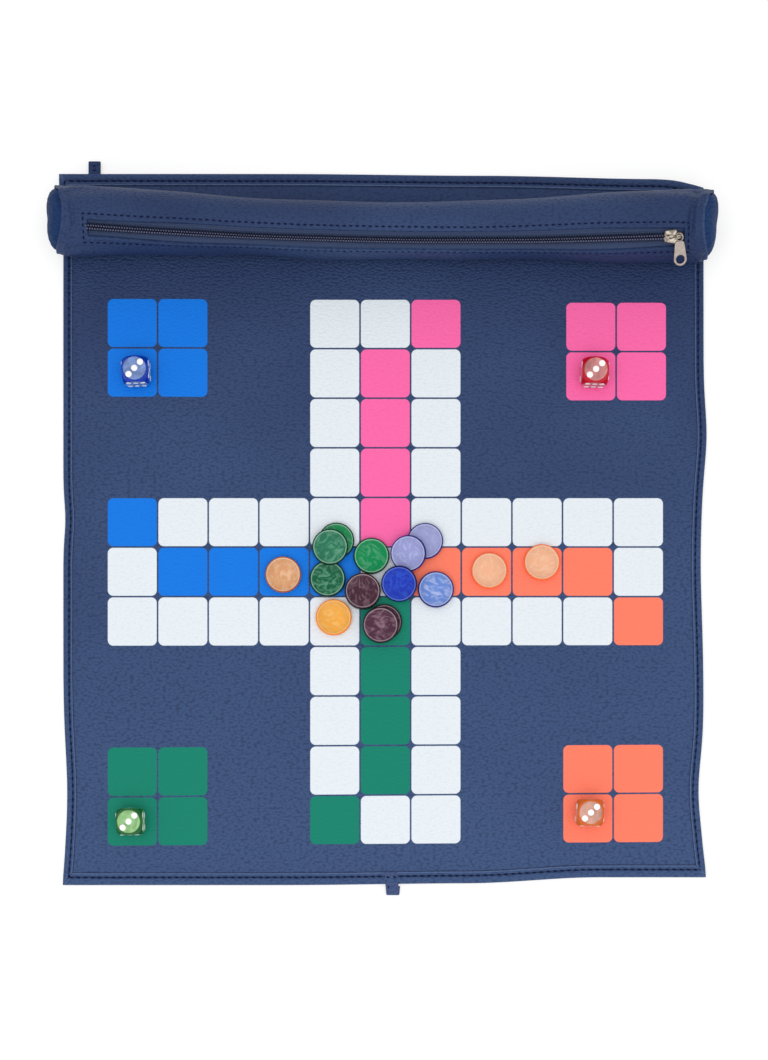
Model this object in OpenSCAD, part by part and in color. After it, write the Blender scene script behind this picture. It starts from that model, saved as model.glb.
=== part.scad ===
/* [Mat] */
// Width of the leather mat
mat_w = 387; // [380:1:396]
// Thickness of the leather sheet
sheet_t = 1.9; // [1.6:0.1:2.2]
// Width of the turned hem
hem_w = 6; // [4:0.5:9]
// Height of the turned hem above the sheet
hem_h = 0.5; // [0.2:0.1:0.6]
// Distance between two squares of the board, centre to centre
row_pitch = 29.76; // [29.5:0.02:30]

/* [Pouch] */
// Length of the pouch over its end caps
pouch_len = 398; // [392:1:404]
// Radius of the soft tube
tube_r = 19; // [18:0.25:20]
// Radius of the stiff end caps
cap_r = 21; // [20:0.25:22]
// Thickness of the pouch leather
wall = 1.6; // [1.2:0.1:1.8]
// How far round from the top the zip lies, towards the board
zip_angle = 22; // [20:1:32]
// How far the zip line turns across the tube
zip_skew = 0.9; // [0:0.1:1.2]
// Length of the zip opening
zip_len = 352; // [340:1:356]

/* [Pieces] */
// Radius of a counter
counter_r = 10.8; // [10:0.1:10.85]
// Thickness of a counter at its rim
counter_h = 3; // [2.5:0.1:3]
// Side of a die
die_side = 16; // [14:0.5:16]

/* [Hidden] */
$fn = 48;
hem_top = sheet_t + hem_h;
half_row = row_pitch / 2;

// Places where the mat bends, as distances along Y from the middle of the object
top_edge_y = 211.5;
bottom_edge_y = -214.5;
top_bends = [for (i = [0:6]) 47.8 + i * half_row + (i == 6 ? 0.1 : 0)];
pouch_bend = 150;
flap_bend = 192;
bottom_bends = [for (i = [0:6]) -100.9 - i * half_row];
bottom_last_bend = -202.3;

// The tube lies on the mat, a little flattened where it is sewn down
tube_y = 173;
tube_z = sheet_t + tube_r - 1;
flare_x = 168;
cuff_x = 188;
cap_x = pouch_len / 2;
lip = 6.6;
coil_w = 2.4;
slit = 0.5;

// The slider stands near the right end, with the zip closed
slider_x = 168.5;
bar_z = 3;
pull_len = 16.5;
pull_w = 7.4;
pull_drop = 9;

// One strip of the mat between two bends, with the hem along its two sides
module mat_strip(y0, y1) {
    color([0.2, 0.26, 0.41]) {
        translate([-mat_w / 2, y0, 0]) cube([mat_w, y1 - y0, sheet_t]);
        for (x = [-mat_w / 2, mat_w / 2 - hem_w])
            translate([x, y0, sheet_t]) cube([hem_w, y1 - y0, hem_h]);
    }
}

// A strip that ends in the hem of the mat's own edge
module mat_end_strip(y0, y1, hem_y) {
    mat_strip(y0, y1);
    color([0.2, 0.26, 0.41])
        translate([-mat_w / 2 + hem_w, hem_y, sheet_t]) cube([mat_w - 2 * hem_w, hem_w, hem_h]);
}

module mat_centre() { mat_strip(bottom_bends[0], top_bends[0]); }
module mat_top(i) { mat_strip(top_bends[i - 1], i < 7 ? top_bends[i] : pouch_bend); }
// Under the pouch the hem is pressed flat by the seam
module mat_under_pouch() {
    color([0.2, 0.26, 0.41])
        translate([-mat_w / 2, pouch_bend, 0]) cube([mat_w, flap_bend - pouch_bend, sheet_t]);
}
module mat_top_edge() { mat_end_strip(flap_bend, top_edge_y, top_edge_y - hem_w); }
module mat_bottom(i) {
    mat_strip(i < 7 ? bottom_bends[i] : bottom_last_bend, bottom_bends[i - 1]);
}
module mat_bottom_8() { mat_end_strip(bottom_edge_y, bottom_last_bend, bottom_edge_y); }

// Folded leather tab that stands out from under the top edge
module hanging_tab() {
    tab_w = 7.2;
    color([0.25, 0.32, 0.48])
        translate([-177, top_edge_y, 0.2]) {
            cube([tab_w, 6, 1.7]);
            translate([0, 6, 0.85]) rotate([0, 90, 0]) cylinder(r = 0.85, h = tab_w);
            translate([0, 6, 0]) cube([tab_w, 3, 1.7]);
        }
}

// Short leather loop, sewn over the bottom hem, that a strap or a stud can catch
module closing_loop() {
    loop_w = 7.6;
    color([0.3, 0.37, 0.55])
        translate([0.9, -220.5, hem_top]) {
            translate([0, 1, 0]) cube([loop_w, 12.8, 1]);
            translate([0, 1, 0.5]) rotate([0, 90, 0]) cylinder(r = 1, h = loop_w);
            translate([0, 1, -1.4]) cube([loop_w, 4.9, 0.9]);
            translate([0, 0, -0.5]) cube([loop_w, 1, 1]);
            translate([0, 1, -1]) cube([loop_w, 0.9, 1.5]);
        }
}

// Solid of revolution along X, cut flat at height floor_z
module lying(profile, floor_z) {
    intersection() {
        translate([0, tube_y, tube_z]) rotate([0, 90, 0]) rotate_extrude($fn = 72) polygon(profile);
        translate([-250, tube_y - 60, floor_z]) cube([500, 120, 100]);
    }
}

// Outline of the tube: straight over the zip and swelling to the stiff ends
function tube_profile(inset, end_x) = concat(
    [[0, -end_x]],
    [for (s = [0:4]) [tube_r - inset + (cap_r - 0.6 - tube_r) * pow(1 - s / 4, 2),
                      -end_x + s * (end_x - flare_x) / 4]],
    [for (s = [0:4]) [tube_r - inset + (cap_r - 0.6 - tube_r) * pow(s / 4, 2),
                      flare_x + s * (end_x - flare_x) / 4]],
    [[0, end_x]]);

// Frame of the zip: X along the zip, Y up round the tube, Z out of the tube
module on_zip() {
    translate([0, tube_y, tube_z]) rotate([zip_angle, 0, 0])
        translate([0, 0, tube_r]) rotate([0, 0, -zip_skew]) children();
}

// Part of a ring round the tube's axis, cut out by a box that stands in the zip's frame
module zip_strip(r_in, r_out, x0, x1, w0, w1) {
    intersection() {
        translate([-cap_x, tube_y, tube_z]) rotate([0, 90, 0]) difference() {
            cylinder(r = r_out, h = 2 * cap_x, $fn = 72);
            translate([0, 0, -1]) cylinder(r = r_in, h = 2 * cap_x + 2, $fn = 72);
        }
        on_zip() translate([x0, w0, -12]) cube([x1 - x0, w1 - w0, 18]);
    }
}

module pouch_shell() {
    color([0.18, 0.24, 0.39]) difference() {
        lying(tube_profile(0, cuff_x), sheet_t);
        lying(tube_profile(wall, cuff_x), sheet_t + wall);
        on_zip() translate([-zip_len / 2, -lip, -6]) cube([zip_len, 2 * lip, 12]);
    }
}

// Stiff disc with a rolled rim that closes one end of the tube
module pouch_cap(side) {
    depth = cap_x - cuff_x;
    color([0.2, 0.26, 0.42]) intersection() {
        translate([side * cuff_x, tube_y, tube_z]) rotate([0, side * 90, 0])
            rotate_extrude($fn = 72) polygon(concat(
                [[0, 0], [cap_r - 0.6, 0]],
                [for (a = [0:15:90]) [cap_r - 3 + 3 * cos(a), depth - 4 + 3 * sin(a)]],
                [[cap_r - 6, depth - 0.4], [0, depth]]));
        translate([-250, tube_y - 60, sheet_t]) cube([500, 120, 100]);
    }
}

module zip_tape_upper() {
    color([0.12, 0.16, 0.28])
        zip_strip(tube_r - wall - 0.6, tube_r - wall, -zip_len / 2 - 3, zip_len / 2 + 3, slit + 0.1, 12);
}
module zip_tape_lower() {
    color([0.12, 0.16, 0.28])
        zip_strip(tube_r - wall - 0.6, tube_r - wall, -zip_len / 2 - 3, zip_len / 2 + 3, -12, -slit - 0.1);
}
module zip_coil_upper() {
    color([0.1, 0.09, 0.15])
        zip_strip(tube_r - wall, tube_r + 0.5, -zip_len / 2 + 4, zip_len / 2 - 3, slit, slit + coil_w);
}
module zip_coil_lower() {
    color([0.1, 0.09, 0.15])
        zip_strip(tube_r - wall, tube_r + 0.5, -zip_len / 2 + 4, zip_len / 2 - 3, -slit - coil_w, -slit);
}

// Small clamped piece across both tapes, one at each end of the coil
module zip_stop(x) {
    color([0.7, 0.67, 0.63])
        zip_strip(tube_r - wall, tube_r + 0.9, x, x + 2, -slit - coil_w, slit + coil_w);
}

// Cast slider: a plate over the coil, a plate under the tapes, and the web between them
module zip_slider() {
    plate_w = 8;
    plate_l = 11.4;
    color([0.72, 0.69, 0.64]) on_zip() translate([slider_x, 0, 0]) {
        translate([-plate_l / 2, -plate_w / 2, 0.95]) cube([plate_l, plate_w, 0.9]);
        for (y = [-plate_w / 2, plate_w / 2 - 0.7])
            translate([-plate_l / 2, y, -0.5]) cube([plate_l, 0.7, 1.5]);
        translate([-2.5, -0.35, -3.6]) cube([5, 0.7, 5]);
        translate([-plate_l / 2, -2.8, -4.3]) cube([plate_l, 5.6, 0.9]);
        for (x = [-4.6, 4.2])
            translate([x, -0.8, 1.8]) cube([1, 1.6, 1.5]);
        translate([-4.6, 0, bar_z]) rotate([0, 90, 0]) cylinder(r = 0.55, h = 9.8);
    }
}

// Pull tab: an eye round the right half of the slider's bar and a flat tongue with a round hole
module pull_tab() {
    left = -0.2;
    hole_x = left + pull_w / 2;
    hole_y = pull_w / 2 - pull_len;
    color([0.74, 0.71, 0.66]) on_zip() translate([slider_x, 0, bar_z]) rotate([pull_drop, 0, 0])
        difference() {
            union() {
                translate([left, 0, 0]) rotate([0, 90, 0]) cylinder(r = 1.1, h = 4.2);
                translate([left, -2, -0.5]) cube([4.2, 1.6, 1]);
                translate([left, hole_y, -0.5]) cube([pull_w, -1.7 - hole_y, 1]);
                translate([hole_x, hole_y, -0.5]) cylinder(r = pull_w / 2, h = 1);
            }
            translate([left - 1, 0, 0]) rotate([0, 90, 0]) cylinder(r = 0.6, h = 6.2);
            translate([hole_x, hole_y + 0.3, -2]) cylinder(r = 2.4, h = 4);
        }
}

// Cast resin cube with corners and edges taken off by a ball
module die(x, y, turn) {
    translate([x, y, sheet_t + die_side / 2]) rotate([0, 0, turn]) intersection() {
        cube(die_side, center = true);
        sphere(r = die_side * 0.69, $fn = 64);
    }
}

// Resin disc with a raised rim on both faces
module counter(x, y, z, tilt = 0, toward = 0) {
    rim = 1.2;
    dish = 0.6;
    translate([x, y, z]) rotate([0, 0, toward]) rotate([0, tilt, 0]) rotate_extrude($fn = 64)
        polygon([[0, dish], [counter_r - rim - 0.4, dish], [counter_r - rim, 0],
                 [counter_r - 0.4, 0], [counter_r, 0.4],
                 [counter_r, counter_h - 0.4], [counter_r - 0.4, counter_h],
                 [counter_r - rim, counter_h], [counter_r - rim - 0.4, counter_h - dish],
                 [0, counter_h - dish]]);
}
level_1 = sheet_t;
level_2 = sheet_t + counter_h;

module counter_green_1() { color([0.1, 0.5, 0.3, 0.9]) counter(-28.2, -7.5, level_1); }
module counter_green_2() { color([0.25, 0.5, 0.38, 0.9]) counter(-31.9, -11.7, level_2); }
module counter_green_3() { color([0.15, 0.48, 0.3, 0.9]) counter(-33.5, -30.3, level_1); }
module counter_green_4() { color([0.05, 0.55, 0.28, 0.9]) counter(-7.2, -16.6, level_1); }
module counter_blue_1() { color([0.6, 0.6, 0.82, 0.9]) counter(25.0, -7.7, level_1); }
module counter_blue_2() {
    color([0.65, 0.66, 0.86, 0.9]) counter(15.2, -15.2, sheet_t + 2.85, -13.6, 37);
}
module counter_blue_3() {
    color([0.08, 0.2, 0.7, 0.9]) counter(9.5, -33.2, sheet_t + 2.8, -14.2, 72);
}
module counter_blue_4() { color([0.45, 0.5, 0.8, 0.9]) counter(31.4, -36.7, level_1); }
module counter_purple_1() { color([0.36, 0.2, 0.28, 0.9]) counter(-12.4, -38.0, level_1); }
module counter_purple_2() { color([0.38, 0.22, 0.3, 0.9]) counter(-12.4, -38.0, level_2); }
module counter_purple_3() { color([0.36, 0.2, 0.28, 0.9]) counter(0.4, -56.3, level_1); }
module counter_purple_4() { color([0.4, 0.22, 0.32, 0.9]) counter(-1.7, -58.3, level_2); }
module counter_orange_1() { color([1, 0.66, 0.25, 0.9]) counter(-29.8, -53.4, level_1); }
module counter_orange_2() { color([0.75, 0.42, 0.25, 0.9]) counter(-60.1, -27.8, level_1); }
module counter_orange_3() { color([1, 0.75, 0.5, 0.9]) counter(63.4, -25.4, level_1); }
module counter_orange_4() { color([1, 0.76, 0.52, 0.9]) counter(94.9, -20.4, level_1); }

mat_centre();
mat_top(1);  // mat_top_1
mat_top(2);  // mat_top_2
mat_top(3);  // mat_top_3
mat_top(4);  // mat_top_4
mat_top(5);  // mat_top_5
mat_top(6);  // mat_top_6
mat_top(7);  // mat_top_7
mat_under_pouch();
mat_top_edge();
mat_bottom(1);  // mat_bottom_1
mat_bottom(2);  // mat_bottom_2
mat_bottom(3);  // mat_bottom_3
mat_bottom(4);  // mat_bottom_4
mat_bottom(5);  // mat_bottom_5
mat_bottom(6);  // mat_bottom_6
mat_bottom(7);  // mat_bottom_7
mat_bottom_8();
hanging_tab();
closing_loop();
pouch_shell();
pouch_cap(-1);  // pouch_cap_left
pouch_cap(1);  // pouch_cap_right
zip_tape_upper();
zip_tape_lower();
zip_coil_upper();
zip_coil_lower();
zip_stop(-zip_len / 2 + 1.8);  // zip_stop_left
zip_stop(zip_len / 2 - 2.8);  // zip_stop_right
zip_slider();
pull_tab();
color([0.1, 0.25, 0.75, 0.85]) die(-147.3, 91.8, 2);  // die_blue
color([0.8, 0.1, 0.25, 0.85]) die(125.7, 91.2, -2);  // die_red
color([0.05, 0.5, 0.35, 0.85]) die(-151.1, -175.5, 1);  // die_green
color([0.9, 0.45, 0.15, 0.85]) die(122.7, -170.1, -1);  // die_orange
counter_green_1();
counter_green_2();
counter_green_3();
counter_green_4();
counter_blue_1();
counter_blue_2();
counter_blue_3();
counter_blue_4();
counter_purple_1();
counter_purple_2();
counter_purple_3();
counter_purple_4();
counter_orange_1();
counter_orange_2();
counter_orange_3();
counter_orange_4();
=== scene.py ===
import math

import bpy
import numpy as np
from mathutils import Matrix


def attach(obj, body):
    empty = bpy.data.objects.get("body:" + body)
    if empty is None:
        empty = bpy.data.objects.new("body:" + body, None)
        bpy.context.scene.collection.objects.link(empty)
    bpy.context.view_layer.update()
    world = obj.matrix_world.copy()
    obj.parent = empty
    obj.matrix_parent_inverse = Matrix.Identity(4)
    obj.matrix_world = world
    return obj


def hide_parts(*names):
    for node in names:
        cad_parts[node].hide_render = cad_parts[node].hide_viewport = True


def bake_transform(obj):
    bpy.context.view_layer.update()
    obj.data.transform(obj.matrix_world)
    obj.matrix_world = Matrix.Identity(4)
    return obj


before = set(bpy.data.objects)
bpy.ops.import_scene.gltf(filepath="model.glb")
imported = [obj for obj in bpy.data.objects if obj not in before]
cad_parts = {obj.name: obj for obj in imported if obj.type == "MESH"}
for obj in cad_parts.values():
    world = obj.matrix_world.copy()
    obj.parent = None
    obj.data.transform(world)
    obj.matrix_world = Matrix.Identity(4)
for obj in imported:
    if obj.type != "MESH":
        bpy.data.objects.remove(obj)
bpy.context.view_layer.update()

# The mat is one hide of navy pebble-grain leather. Its four edges are turned over on top,
# mitred at the corners and stitched down, and the ludo squares are printed on the grain.
# It rolls up from both ends, so it is made in strips.
MM = 0.001
sheet_t = 1.9
# How far in the hem is stitched, in millimetres, and how much narrower it is along the sides
hem_in, side_hem = 4.7, 0.78
squares_a_side, pitch_x, pitch_y = 11, 30.37, 29.76
board_left, board_top = -165.9, 137.1
half_row = pitch_y / 2
top_bends = [47.8 + i * half_row for i in range(6)] + [137.18, 150.0]
bottom_bends = [-100.9 - i * half_row for i in range(7)] + [-202.3]


def ease(t, start, end):
    """Goes softly from 0 at start to 1 at end."""
    s = np.clip((np.asarray(t, float) - start) / (end - start), 0, 1)
    return s * s * (3 - 2 * s)


def bump(t, centre, width):
    """A soft swelling, 1 high at its centre."""
    return np.exp(-(((np.asarray(t, float) - centre) / width) ** 2))


def left_edge(y):
    """X of the mat's left edge at y. Its edges wave a little, as a cut hide does."""
    waves = 1.2 * bump(y, 5, 14) + 2.3 * bump(y, -160, 38) - 0.6 * bump(y, -214, 12)
    return -192.2 + waves - 2.6 * ease(y, 188, 207)


def right_edge(y):
    outward = 1.9 * bump(y, 55, 24) + 1.4 * bump(y, -210, 14)
    return 192.2 + outward - 1.7 * bump(y, -20, 45) - 3.0 * bump(y, -158, 27)


def top_edge(x):
    return 212.3 - 1.1 * ease(x, -60, 60) - 2.0 * ease(x, 60, 165) - 0.005 * np.maximum(0, x - 160) ** 2


def bottom_edge(x):
    return -214.6 + 1.1 * ease(x, -60, 55) + 3.6 * ease(x, 50, 130)


# How the turned edge is made up, going in from the outside: rounded fold, stitch furrow, cut end
hem_lines = np.array([0, 0.12, 0.4, 0.9, 1.8, 3.3, 4.2, 4.7, 5.2, 6.0, 6.7, 7.05, 7.25, 7.4, 7.9])
hem_upper = np.array([1.25, 1.75, 2.3, 2.7, 2.95, 2.9, 2.5, 2.1, 2.5, 2.75, 2.75, 2.6, 2.2, 1.95, 1.9])
hem_under = np.array([1.15, 0.75, 0.35, 0.1, 0.0] + [0.0] * 10)
hem_cut = hem_lines[-3]


def spread(start, end, step):
    """Values from start to end, both in, about step apart."""
    return np.linspace(start, end, max(2, int(round(abs(end - start) / step)) + 1))


def joined(*runs):
    """Runs of values in order, with each value once."""
    values = np.concatenate(runs)
    keep = np.concatenate([[True], np.abs(np.diff(values)) > 1e-6])
    return values[keep]


def across_mat(y):
    """Where the lengthwise lines of the mat cross it at y, from left to right."""
    left = left_edge(y) + hem_lines * side_hem
    right = right_edge(y) - hem_lines[::-1] * side_hem
    lines_a_square = 5
    squares = [board_left + i * pitch_x / lines_a_square
               for i in range(squares_a_side * lines_a_square + 1)]
    return np.concatenate([left, np.linspace(left[-1], squares[0], 5)[1:-1], squares,
                           np.linspace(squares[-1], right[0], 5)[1:-1], right])


def across_row(ys):
    """The same lines for one row whose y changes along it: each line's x at its own y."""
    return np.array([across_mat(y)[j] for j, y in enumerate(ys)])


def from_edges(x, y):
    """Distance in from the nearer side and the nearer end, on the scale of the hem's lines."""
    side = np.minimum(x - left_edge(y), right_edge(y) - x) / side_hem
    return side, np.minimum(top_edge(x) - y, y - bottom_edge(x))


def swell(x, y, d):
    """How far the edges of the mat lift off the table, more at some places than at others."""
    wave = 0.5 + 0.35 * np.sin(y / 19 + 1.1) + 0.3 * np.sin(x / 27 + 0.4)
    free = 1 - bump(y, 178, 30)
    return np.clip(wave, 0, 2) * np.exp(-((d / 13) ** 2)) * free * ease(d, -1, 3) * 0.9


def mat_heights(x, y):
    """Upper and lower height of the leather at points of the mat."""
    side, end = from_edges(x, y)
    d = np.minimum(side, end)
    mitre_half, mitre_deep = 0.3, 0.35
    mitre = (np.abs(side - end) < mitre_half) & (np.maximum(side, end) < hem_cut) & (d > mitre_half)
    lift = swell(x, y, d)
    upper = np.interp(d, hem_lines, hem_upper) - mitre_deep * mitre + lift
    return upper, np.interp(d, hem_lines, hem_under) + lift


def finish_nodes(name):
    """A new material with its node tree and its surface shader."""
    material = bpy.data.materials.new(name)
    material.use_nodes = True
    return material, material.node_tree, material.node_tree.nodes["Principled BSDF"]


def put(tree, kind, inputs=(), **settings):
    """One new node, its sockets filled with values or joined to other nodes. Gives its outputs."""
    node = tree.nodes.new("ShaderNode" + kind)
    for key, value in settings.items():
        setattr(node, key, value)
    for key, value in dict(inputs).items():
        if isinstance(value, bpy.types.NodeSocket):
            tree.links.new(value, node.inputs[key])
        else:
            node.inputs[key].default_value = value
    return node.outputs


def grid_faces(rows, columns, closed=True, flip=False):
    """Faces of a grid of points, row after row, whose rows may close into rings."""
    faces = []
    for i in range(rows - 1):
        for k in range(columns if closed else columns - 1):
            a, b = i * columns + k, i * columns + (k + 1) % columns
            faces.append((a, b, b + columns, a + columns) if flip else (a, a + columns, b + columns, b))
    return faces


def rod_faces(rows, columns):
    """Faces of a solid made of rings of points, one after the other, with a flat face at each end."""
    last = (rows - 1) * columns
    return grid_faces(rows, columns, flip=True) + [tuple(range(columns - 1, -1, -1)),
                                                   tuple(range(last, last + columns))]


def add_part(points, faces, part):
    """Adds the points and faces of one part to those of its piece."""
    part_points, part_faces = part
    faces += [tuple(len(points) + v for v in face) for face in part_faces]
    points += part_points


def tone(r, g, b):
    """A colour as the eye names it, 0 to 255, in the light values that a shader takes."""
    return tuple((c / 255 / 12.92 if c < 11 else ((c / 255 + 0.055) / 1.055) ** 2.4)
                 for c in (r, g, b)) + (1.0,)


def toned(colour, share):
    """A colour made darker, or lighter where share is over 1."""
    return tuple(share * c for c in colour[:3]) + (1.0,)


def mixed(tree, share, first, second):
    return put(tree, "MixRGB", {"Fac": share, "Color1": first, "Color2": second})[0]


def math_node(tree, operation, a, b=0.0):
    return put(tree, "Math", {0: a, 1: b}, operation=operation)[0]


# A lighter navy, painted in as sheen towards the lower edge of the mat.
painted_sheen_navy = tone(64, 88, 131)
# Colours of the painted shadow and the painted highlight lines.
painted_seam_shadow, painted_edge_highlight = tone(12, 22, 52), tone(110, 130, 170)
# Painted shade and highlight lines on the hem: shade in the stitch furrow, a shadow and a highlight by
# the cut edge, shade and a highlight along the mitre. For each: what it follows, where, how wide on each
# side, how strong, and the colour
hem_light_and_shade = [("inward", hem_in, 0.9, 0.55, tone(10, 18, 46)), ("inward", 7.5, 0.45, 0.6, painted_seam_shadow),
              ("inward", 6.9, 0.5, 0.6, painted_edge_highlight), ("mitre", 0.0, 0.5, 0.6, painted_seam_shadow),
              ("mitre", 1.0, 0.5, 0.5, painted_edge_highlight)]


def grained_leather(name, dark, light, printed=False, shine=0.16):
    """Milled leather: soft pebbles a millimetre or two across, fine pores, and slow changes of shade,
    with painted shade in the pebble hollows and a painted sheen that lightens it towards the hide's
    lower edge.
    """
    material, tree, skin = finish_nodes(name)
    hide = put(tree, "UVMap", uv_map="hide")[0]
    hide = put(tree, "VectorMath", {0: hide, 1: (0.8, 1.25, 1.0)}, operation="MULTIPLY")[0]
    stray = put(tree, "TexNoise", {"Vector": hide, "Scale": 300.0, "Detail": 2.0})["Color"]
    stray_reach = (1.0 * MM, 1.0 * MM, 0)
    bent = put(tree, "VectorMath", {0: stray, 1: stray_reach, 2: hide}, operation="MULTIPLY_ADD")[0]
    pebbles = put(tree, "TexVoronoi", {"Vector": bent, "Scale": 640.0, "Smoothness": 0.7},
                  voronoi_dimensions="2D", feature="SMOOTH_F1")["Distance"]
    pores = put(tree, "TexNoise", {"Vector": hide, "Scale": 1700.0, "Detail": 2.0})[0]
    drum = put(tree, "TexNoise", {"Vector": hide, "Scale": 75.0, "Detail": 3.0})[0]
    height = math_node(tree, "SUBTRACT", 1.0, pebbles)
    for texture, share in ((pores, 0.18), (drum, 0.25)):
        height = math_node(tree, "ADD", height, math_node(tree, "MULTIPLY", texture, share))
    grain_height, grain, flattened = 0.45 * MM, 0.9, 0.4
    raised = put(tree, "Bump", {"Height": height, "Strength": grain, "Distance": grain_height})[0]
    tree.links.new(raised, skin.inputs["Normal"])
    shade = put(tree, "TexNoise", {"Vector": hide, "Scale": 9.0, "Detail": 2.0})[0]
    shade = put(tree, "MapRange", {"Value": shade, "From Min": 0.3, "From Max": 0.7})[0]
    # Painted shade: the pebble hollows are darkened in colour, and the print is greyed a little in them.
    hollow_shade = put(tree, "MapRange", {"Value": pebbles, "From Min": 0.25, "From Max": 0.75})[0]
    colour = mixed(tree, shade, dark, light)
    along = put(tree, "SeparateXYZ", {"Vector": hide})[1]
    # Painted sheen: the leather is mixed towards a lighter navy towards the hide's lower edge, where the
    # lamp's sheen falls.
    painted_sheen = put(tree, "MapRange", {"Value": along, "From Min": 0.17, "From Max": -0.24})[0]
    colour = mixed(tree, math_node(tree, "MULTIPLY", painted_sheen, 0.75), colour, painted_sheen_navy)
    colour = mixed(tree, math_node(tree, "MULTIPLY", hollow_shade, 0.48), colour, toned(dark, 0.55))
    rough = put(tree, "MapRange", {"Value": pebbles, "To Min": 0.44, "To Max": 0.62})[0]
    if printed:
        square = put(tree, "UVMap", uv_map="square")[0]
        corner, gap, blur = 3.3, 0.5, 0.3
        room = (pitch_x / 2 - gap - corner, pitch_y / 2 - gap - corner, 0)
        beyond = put(tree, "VectorMath", {0: square}, operation="ABSOLUTE")[0]
        beyond = put(tree, "VectorMath", {0: beyond, 1: room}, operation="SUBTRACT")[0]
        beyond = put(tree, "VectorMath", {0: beyond, 1: (0, 0, 0)}, operation="MAXIMUM")[0]
        reach = put(tree, "VectorMath", {0: beyond}, operation="LENGTH")["Value"]
        reach = math_node(tree, "ADD", reach, math_node(tree, "MULTIPLY", pores, 0.3))
        inside = put(tree, "MapRange", {"Value": reach, "From Min": corner + blur,
                                        "From Max": corner})[0]
        paint = put(tree, "VertexColor", layer_name="paint")
        inside = math_node(tree, "MULTIPLY", inside, paint["Alpha"])
        tree.links.new(put(tree, "MapRange", {"Value": inside, "To Min": grain, "To Max": flattened})[0],
                       raised.node.inputs["Strength"])
        # Painted shade in the pebble hollows, faint on the print.
        paint_in_hollow_shade = mixed(tree, math_node(tree, "MULTIPLY", hollow_shade, 0.05), paint["Color"], colour)
        colour = mixed(tree, inside, colour, paint_in_hollow_shade)
        rough = mixed(tree, inside, rough, (0.5, 0.5, 0.5, 1))
        # Painted shade and highlight lines along the hem and the mitres.
        hem = put(tree, "SeparateXYZ", {"Vector": put(tree, "UVMap", uv_map="hem")[0]})
        measures = {"inward": hem[0], "mitre": hem[1]}
        for follows, line_at, line_half, strength, painted_tone in hem_light_and_shade:
            away = math_node(tree, "SUBTRACT", measures[follows], line_at)
            drawn = put(tree, "MapRange", {"Value": math_node(tree, "ABSOLUTE", away),
                                           "From Min": 0.0, "From Max": line_half,
                                           "To Min": strength, "To Max": 0.0})[0]
            colour = mixed(tree, drawn, colour, painted_tone)
    tree.links.new(colour, skin.inputs["Base Color"])
    tree.links.new(rough, skin.inputs["Roughness"])
    skin.inputs["Specular IOR Level"].default_value = shine
    return material


def sewing_thread(name, colour):
    """Waxed polyester thread, twisted from three strands."""
    material, tree, skin = finish_nodes(name)
    place = put(tree, "TexCoord")["Object"]
    twist = put(tree, "TexWave", {"Vector": place, "Scale": 420.0, "Distortion": 1.5},
                bands_direction="DIAGONAL")[0]
    raised = put(tree, "Bump", {"Height": twist, "Strength": 0.6, "Distance": 0.0001})
    tree.links.new(raised[0], skin.inputs["Normal"])
    tree.links.new(mixed(tree, twist, colour, toned(colour, 1.7)), skin.inputs["Base Color"])
    skin.inputs["Roughness"].default_value = 0.6
    skin.inputs["Specular IOR Level"].default_value = 0.1
    return material


def new_piece(name, points, faces, finishes, picks=None, crease=50):
    """A mesh piece from points in millimetres, smooth but for edges sharper than crease degrees."""
    mesh = bpy.data.meshes.new(name)
    mesh.from_pydata((np.asarray(points, float) * MM).tolist(), [], faces)
    for finish in finishes:
        mesh.materials.append(finish)
    if picks is not None:
        mesh.polygons.foreach_set("material_index", picks)
    mesh.shade_smooth()
    mesh.set_sharp_from_angle(angle=math.radians(crease))
    piece = bpy.data.objects.new(name, mesh)
    bpy.context.scene.collection.objects.link(piece)
    return piece


def lay_map(piece, name, values):
    """Gives the finish two values at each point of the mesh, as a map that it finds by name."""
    mesh = piece.data
    corners = np.zeros(len(mesh.loops), int)
    mesh.loops.foreach_get("vertex_index", corners)
    chart = np.asarray(values, float)[corners].astype(np.float32)
    mesh.uv_layers.new(name=name).data.foreach_set("uv", chart.ravel())


def lay_hide(piece, spots):
    """Marks where each point of the mesh lies on the flat hide, in metres, for the grain."""
    lay_map(piece, "hide", np.asarray(spots, float) * MM)


def stitch(centre, along, up, length=2.5, width=0.75):
    """Points and faces of one stitch: a grain of thread that dips into the leather at both ends."""
    side, sides, dip = np.cross(up, along), 6, 1.3
    rings = [(-0.42, 0.5), (-0.2, 0.95), (0, 1.05), (0.2, 0.95), (0.42, 0.5)]
    points = []
    for s, r in rings:
        for a in np.arange(sides) * 2 * math.pi / sides:
            points.append(centre + along * s * length + side * r * width / 2 * math.cos(a)
                          + up * (r * width / 2 * math.sin(a) - dip * s * s * width))
    return points, rod_faces(len(rings), sides)


white_paint, pink_paint = tone(227, 234, 240), tone(252, 104, 170)
blue_paint, green_paint, orange_paint = tone(0, 118, 226), tone(0, 128, 104), tone(255, 126, 98)
arm_paints = [pink_paint, blue_paint, green_paint, orange_paint]


def square_paint(column, row):
    """The paint of a square of the ludo cross, or None. The four arms are one arm turned round."""
    reach = squares_a_side // 2
    x, y = column - reach, reach - row
    if max(abs(x), abs(y)) > reach:
        return None
    for paint in arm_paints:
        home_run = x == 0 and 1 <= y < reach
        if home_run or (x, y) == (1, reach) or (x >= reach - 1 and y >= reach - 1):
            return paint
        x, y = y, -x
    return white_paint if abs(x) <= 1 or abs(y) <= 1 else None


def pink_home(x):
    """The pink home was printed a little off the grid: how much of that shift a place has."""
    return ease(x, 80, 104) * (1 - ease(x, 172, 184))


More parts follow.
